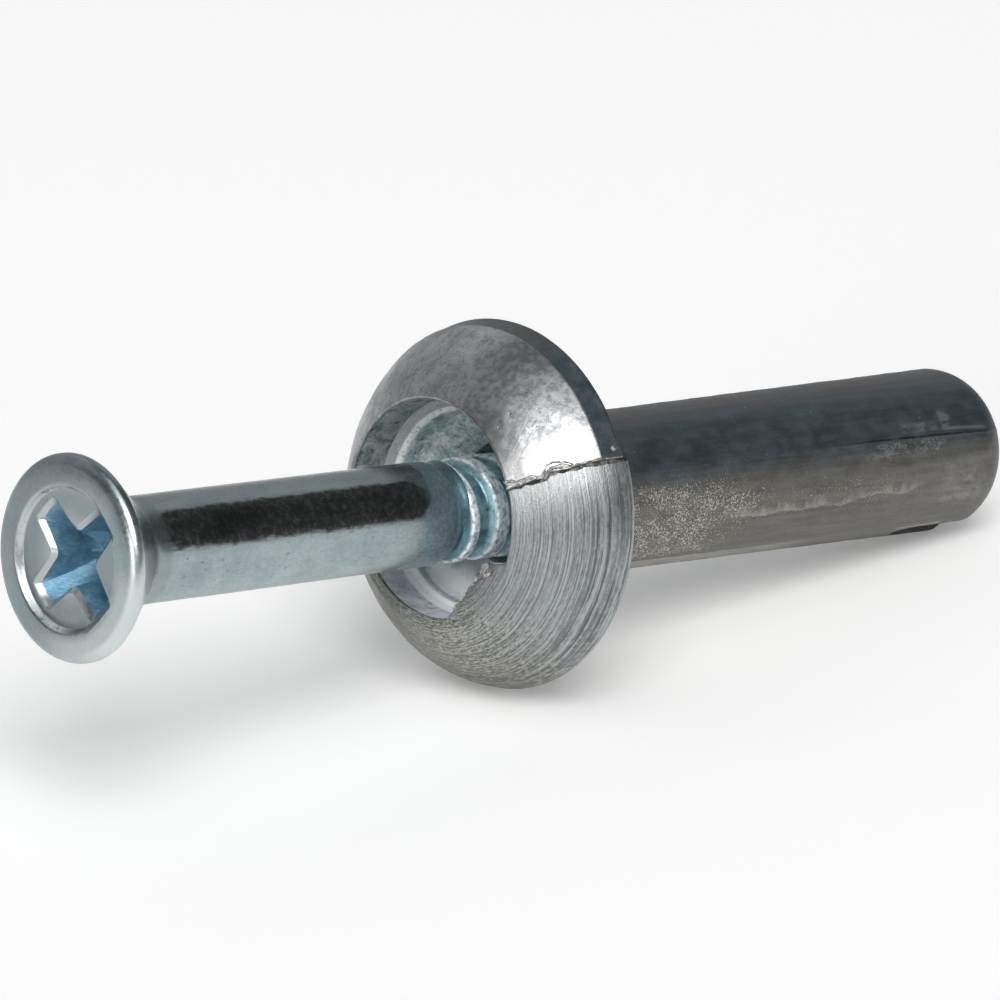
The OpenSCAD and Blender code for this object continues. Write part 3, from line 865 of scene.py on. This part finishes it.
def make_casting():
    turns = parting_turns(300)
    columns = [casting_column(t) for t in turns]
    rings = [c[0] for c in columns]

    def skin_of(k, i):
        from_line = (turns[k] - PARTING_TURN + 90) % 180 - 90
        if -1.2 < from_line < -0.1 and rings[k][i][0] < 0.22 and rings[k][i][1] > 4.2:
            return FINISH_ORDER.index("seam")
        return FINISH_ORDER.index(columns[k][1][i])

    mesh = turned_mesh("casting", rings, turns, True, skin_of)
    for name in FINISH_ORDER:
        mesh.materials.append(FINISHES[name])
    casting = add("casting", mesh)
    finished(casting)
    cut(casting, slit_wedge())
    finished(casting)
    with opened(casting.data) as bm:
        first = len(bm.faces)
        for lump in flash_pieces():
            bm.from_mesh(lump)
        bm.faces.ensure_lookup_table()
        for f in bm.faces[first:]:
            f.smooth, f.material_index = True, FINISH_ORDER.index("flash")
    return lay(casting)


# ---- screw

def thread_tree():
    """Geometry Nodes tree: a screw thread as a turned grid whose radius follows the helix."""
    tree = bpy.data.node_groups.new("screw_thread", "GeometryNodeTree")
    face = tree.interface
    face.new_socket("Geometry", in_out="INPUT", socket_type="NodeSocketGeometry")
    sizes = ("Length", "Crest Radius", "Depth", "Pitch", "Crest Share", "Run Out", "Run In", "Start")
    for name in sizes:
        face.new_socket(name, in_out="INPUT", socket_type="NodeSocketFloat")
    face.new_socket("Finish", in_out="INPUT", socket_type="NodeSocketMaterial")
    face.new_socket("Geometry", in_out="OUTPUT", socket_type="NodeSocketGeometry")
    gin, gout = tree.nodes.new("NodeGroupInput"), tree.nodes.new("NodeGroupOutput")
    length, crest, depth, pitch, share, run_out, run_in, start = (
        Value(tree, gin.outputs[key]) for key in sizes)

    grid = node(tree, "GeometryNodeMeshGrid", Size_X=1, Size_Y=1, Vertices_X=170, Vertices_Y=97)
    position = tree.nodes.new("GeometryNodeInputPosition")
    split = node(tree, "ShaderNodeSeparateXYZ", Vector=position.outputs[0])
    along = (Value(tree, split.outputs[0]) + 0.5) * length
    around = Value(tree, split.outputs[1]) + 0.5
    # place in one pitch, 0 to 1, then its distance from the crest's middle
    phase = calc(tree, "FRACT", (along - start) / pitch + around)
    off = abs(phase - 0.5) * 2
    grown = calc(tree, "ADD", along / run_in, 0.2, clamp=True)
    fall = calc(tree, "DIVIDE", off - share * grown, 0.42, clamp=True)
    fall = fall * fall * (3 - fall * 2)
    fade = calc(tree, "DIVIDE", length - along, run_out, clamp=True)
    radius = crest - depth * (fall * fade + (1 - fade))
    angle = around * (2 * pi)
    join = node(tree, "ShaderNodeCombineXYZ", X=along, Y=radius * calc(tree, "COSINE", angle) * -1,
                Z=radius * calc(tree, "SINE", angle))
    place = node(tree, "GeometryNodeSetPosition", Geometry=grid.outputs["Mesh"], Position=join.outputs[0])
    merge = node(tree, "GeometryNodeMergeByDistance", Geometry=place.outputs[0], Distance=0.0005)
    real = node(tree, "GeometryNodeRealizeInstances", Geometry=merge.outputs[0])
    skin = node(tree, "GeometryNodeSetMaterial", Geometry=real.outputs[0], Material=gin.outputs["Finish"])
    tree.links.new(skin.outputs[0], gout.inputs[0])
    return tree


def from_tree(name, tree, values):
    """The plain mesh that a tree makes with these input values."""
    obj = add(name, bpy.data.meshes.new(name))
    mod = obj.modifiers.new(name, "NODES")
    mod.node_group = tree
    ids = {i.name: i.identifier for i in tree.interface.items_tree
           if i.item_type == "SOCKET" and i.in_out == "INPUT"}
    for key, value in values.items():
        mod[ids[key]] = value
    mesh = plain_result(obj)
    bpy.data.objects.remove(obj)
    return mesh


def cross_cutter():
    """The driver's cross: four tapering wings with rounded roots, down to a blunt cone."""
    rings = []
    # depth, share of the full size, and how far the chamfer stands out
    levels = [(-0.6, 1, 1.05), (0.53, 0.975, 0), (0.9, 0.86, 0), (1.5, 0.7, 0), (2, 0.52, 0),
              (CROSS_DEPTH, 0.32, 0)]
    for depth, share, flare in levels:
        reach = CROSS_L / 2 * share + flare
        tip = CROSS_W / 2 * (0.62 + 0.28 * share) + flare
        root = CROSS_W / 2 * (0.82 + 0.36 * share) + flare
        tip, root = min(tip, reach * 0.45), min(root, reach * 0.5)
        fillet = min(0.36 * share, (reach - root) * 0.45)
        ring = []
        for q in range(4):
            b = radians(90 * q + CROSS_TURN)
            round_root = [(root + fillet - fillet * sin(c), root + fillet - fillet * cos(c))
                          for c in np.linspace(0.1, pi / 2 - 0.1, 6)]
            wing = [(reach - 0.16 * share, -tip), (reach - 0.04 * share, -tip + 0.1 * share), (reach, 0),
                    (reach - 0.04 * share, tip - 0.1 * share), (reach - 0.16 * share, tip)] + round_root
            ring += [(depth - SCREW_OUT, -(x * cos(b) - y * sin(b) + CROSS_OFF[0]),
                      x * sin(b) + y * cos(b) + CROSS_OFF[1]) for x, y in wing]
        rings.append(ring)
    mesh = lofted("cross_cutter", rings)
    mesh.materials.append(PLATED)
    mesh.materials.append(RECESS)
    # the chamfer at the mouth of the cross keeps the plating of the face
    mesh.polygons.foreach_set("material_index", [int(i >= len(rings[0])) for i in range(len(mesh.polygons))])
    return add("cross_cutter", mesh)


def screw_profile():
    """(distance from the face, radius) along the screw's head and smooth shank, from the middle of the face."""
    rh, rs = SCREW_HEAD_D / 2, SCREW_D / 2
    pts = [(0.4, 1e-4)] + run((0.4, 0.3), (0.31, RING_R - 0.12), 8)
    # a rounded step up from the dished middle, then a flat rim
    pts += [(0.31 - 0.28 * (1 - cos(pi * t)) / 2, RING_R - 0.14 + 0.24 * t)
            for t in np.linspace(0, 1, 10)]
    # the rim falls away gently outwards, then turns over the edge
    rim_in, rim_out, fall = RING_R + 0.12, rh - FACE_ROUND, 0.045
    pts += [(RIM_LOW + fall * ((r - rim_in) / (rim_out - rim_in)) ** 2, r)
            for r in np.linspace(rim_in, rim_out, 8)]
    lean = 0.12
    for t in np.linspace(lean + 0.1, pi / 2, 13):
        turned = (cos(lean) - cos(t)) / cos(lean)
        pts.append((RIM_LOW + fall + (FACE_ROUND - fall - RIM_LOW) * turned,
                    rim_out + FACE_ROUND * (sin(t) - sin(lean)) / (1 - sin(lean))))
    cone_z = FACE_ROUND + LAND_H
    pts += [(cone_z - 0.03, rh), (cone_z + 0.02, rh - 0.03)]
    widening = tan_of(SINK_ANGLE)
    cone_end = cone_z + (rh - rs) / widening
    back = 0.35
    start, end = (cone_end - back, rs + back * widening), (cone_end + 0.45, rs)
    pts += run((cone_z + 0.06, rh - 0.06 * widening), start, 9)
    pts += bent(start, (cone_end, rs), end, np.linspace(0, 1, 8))
    # the smooth shank falls gently to the thread's root
    neck = 0.85
    pts += run((cone_end + 0.6, rs), (SHOULDER_L - neck, rs), 40)
    pts += [(SHOULDER_L - neck + (neck + 0.04) * t, rs - THREAD_DEPTH * (1 - cos(pi * t)) / 2)
            for t in np.linspace(0.1, 1, 10)]
    return pts


def make_screw():
    turns = list(np.linspace(-180, 180, 128, endpoint=False))
    profile = screw_profile()
    rings = []
    for t in turns:
        column = []
        for z, r in profile:
            if 3.4 < z < SHOULDER_L - 0.9:
                r += 0.006 * ripple(z, r, t, 0.7, 2)
            column.append((z - SCREW_OUT, r))
        rings.append(column)
    body = turned_mesh("screw", rings, turns, False)
    for finish in (PLATED, RECESS, THREADED):
        body.materials.append(finish)
    thread_s = SHOULDER_L + 0.04
    length = SCREW_L - POINT_H - thread_s
    thread = from_tree("thread", thread_tree(), {
        "Length": length, "Crest Radius": SCREW_D / 2, "Depth": THREAD_DEPTH, "Pitch": THREAD_PITCH,
        "Crest Share": 0.56, "Run Out": 1.2, "Run In": 3.9, "Start": THREAD_START, "Finish": THREADED})
    thread.transform(Matrix.Translation((thread_s - SCREW_OUT, 0, 0)))
    root = SCREW_D / 2 - THREAD_DEPTH
    end_s = SCREW_L - SCREW_OUT
    # the blunt front end
    front = [(end_s - POINT_H, root), (end_s - 0.1, POINT_D / 2), (end_s, POINT_D / 2 - 0.12), (end_s, 1e-4)]
    point = turned_mesh("point", [front for _ in turns], turns, False)
    with opened(body) as bm:
        bm.from_mesh(point)
        for f in bm.faces:
            f.material_index = 0
        first = len(bm.faces)
        bm.from_mesh(thread)
        bm.faces.ensure_lookup_table()
        for f in bm.faces[first:]:
            f.material_index = 2
    screw = add("screw", body)
    with opened(body) as bm:
        bmesh.ops.remove_doubles(bm, verts=bm.verts, dist=0.0006)
        bmesh.ops.holes_fill(bm, edges=[e for e in bm.edges if e.is_boundary], sides=0)
    finished(screw, 40)
    cut(screw, cross_cutter())
    finished(screw, 34)
    return lay(screw)


PLATED, RECESS, THREADED = plated_steel(), plated_recess(), plated_thread()
casting = make_casting()
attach(casting, "anchor")
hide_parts("anchor_body")
screw = make_screw()
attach(screw, "screw")
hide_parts("drive_screw")


# ---- floor, light and camera

CAMERA_AT, CAMERA_TURN = (-0.165164, -0.168708, 0.092445), (70.0683, 0.067, -44.0554)
CAMERA_LENS, CAMERA_SENSOR = 230.4, 36
FLOOR_HALF = 3


def make_floor():
    mesh = bpy.data.meshes.new("floor")
    corners = ((-1, -1), (1, -1), (1, 1), (-1, 1))
    mesh.from_pydata([(x * FLOOR_HALF, y * FLOOR_HALF, 0) for x, y in corners], [], [(0, 1, 2, 3)])
    floor = add("floor", mesh)
    material = bpy.data.materials.new("pale_floor")
    material.use_nodes = True
    tree = material.node_tree
    shader = tree.nodes["Principled BSDF"]
    coord = tree.nodes.new("ShaderNodeTexCoord")
    grain = node(tree, "ShaderNodeTexNoise", Vector=coord.outputs["Object"], Scale=6)
    shades = node(tree, "ShaderNodeMapRange", Value=grain.outputs["Fac"], To_Min=0.935, To_Max=0.955)
    tree.links.new(shades.outputs["Result"], shader.inputs["Base Color"])
    for key, value in (("Roughness", 0.9), ("Emission Color", (1, 1, 1, 1)), ("Emission Strength", 0.2)):
        shader.inputs[key].default_value = value
    mesh.materials.append(material)


def soft_light(name, azimuth, elevation, distance, size, radiance, tint=(1, 1, 1)):
    """A soft panel facing the part; size is a disk's diameter or a rectangle's (width, height), in metres."""
    data = bpy.data.lights.new(name, "AREA")
    if isinstance(size, tuple):
        data.shape, data.size, data.size_y = "RECTANGLE", size[0], size[1]
        area = size[0] * size[1]
    else:
        data.shape, data.size = "DISK", size
        area = pi * size ** 2 / 4
    data.energy, data.color = radiance * pi * area, tint
    light = add(name, data)
    az, el = radians(azimuth), radians(elevation)
    d = Vector((cos(el) * cos(az), cos(el) * sin(az), sin(el)))
    light.location = d * distance
    light.rotation_euler = d.to_track_quat("Z", "Y").to_euler()
    light.visible_camera = False


def make_camera():
    data = bpy.data.cameras.new("camera")
    data.sensor_width, data.lens = CAMERA_SENSOR, CAMERA_LENS
    data.clip_start, data.clip_end = 0.01, 20
    camera = add("camera", data)
    camera.location, camera.rotation_euler = CAMERA_AT, [radians(a) for a in CAMERA_TURN]
    bpy.context.scene.camera = camera


def make_world():
    world = bpy.data.worlds.new("studio")
    world.use_nodes = True
    bpy.context.scene.world = world
    background = world.node_tree.nodes["Background"]
    background.inputs["Color"].default_value = (0.95, 0.98, 1, 1)
    background.inputs["Strength"].default_value = 0.095
    bpy.context.scene.view_settings.view_transform = "Standard"


make_floor()
make_world()
soft_light("key", -128, 46, 2.4, 1.6, 6.6, (1, 0.995, 0.985))
soft_light("top", -135, 74, 2.6, 1.95, 1)
soft_light("low_left", 195, 12, 2.4, (0.9, 0.6), 5)
soft_light("back_left", 105, 28, 3, (3.4, 3.75), 0.38, (0.97, 0.99, 1))
soft_light("back_right", 45, 28, 3, (3.4, 3.75), 0.36, (0.97, 0.99, 1))
make_camera()
